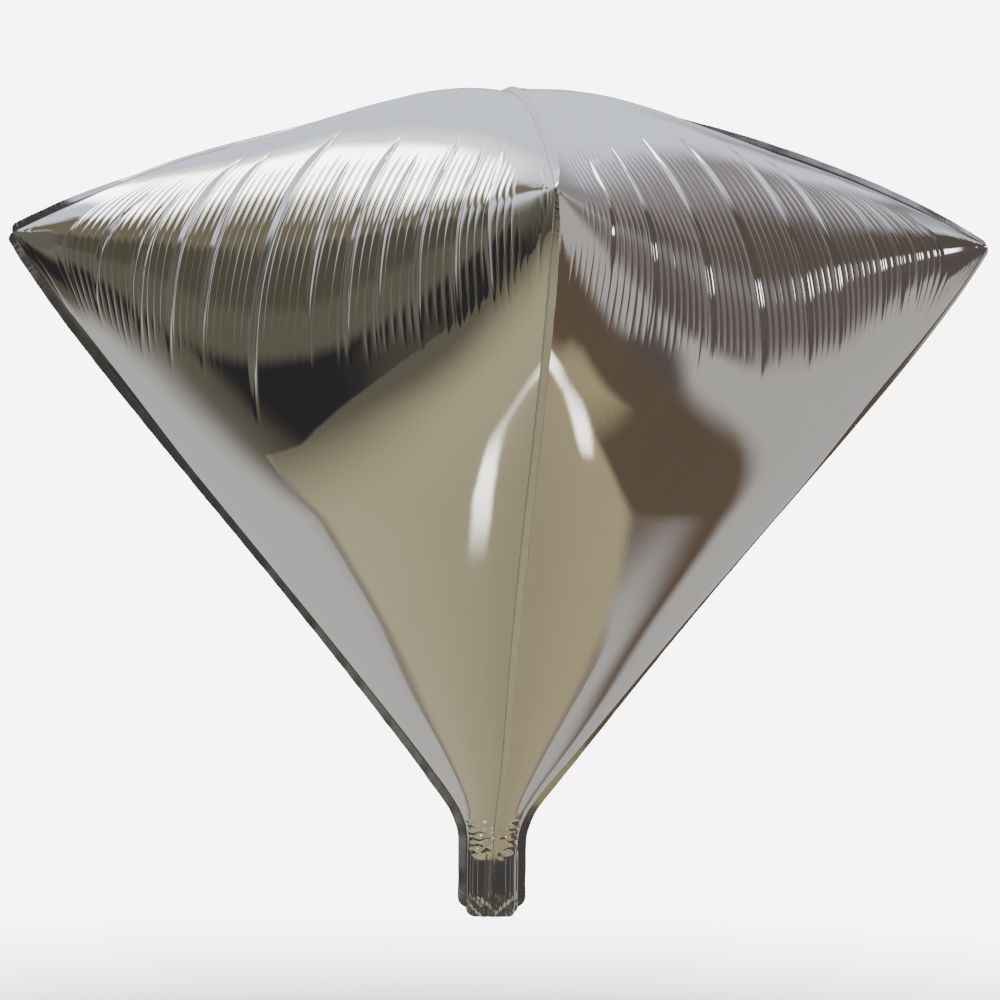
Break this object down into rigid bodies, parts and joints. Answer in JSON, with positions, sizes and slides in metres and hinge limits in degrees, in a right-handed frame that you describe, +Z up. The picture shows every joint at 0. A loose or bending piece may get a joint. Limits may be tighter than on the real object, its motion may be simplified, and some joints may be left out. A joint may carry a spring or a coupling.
{
  "type": "foil balloon",
  "caption": "Diamond-shaped silver foil balloon: kite panels welded edge to edge, a wide girdle with sharp corners, and a flat filling tail with a valve sleeve.",
  "frame": {"origin": "centre of the gas-filled volume, where the air lifts the balloon, on its axis", "axes": "+Z up the axis from the tail to the crown, -Y towards the front corner, +X towards the right corner"},
  "size_m": [0.5504, 0.5504, 0.4585],
  "materials": {
    "silver_film": "mirror-bright metallised film",
    "welded_film": "duller pressed weld",
    "valve_film": "clear film"
  },
  "bodies": {
    "root": {"panel_front_right": "silver_film", "panel_front_left": "silver_film", "panel_back_right": "silver_film", "panel_back_left": "silver_film", "seam_right": "welded_film", "seam_left": "welded_film", "seam_front": "welded_film", "seam_back": "welded_film", "valve_sleeve": "valve_film"}
  },
  "joints": []
}
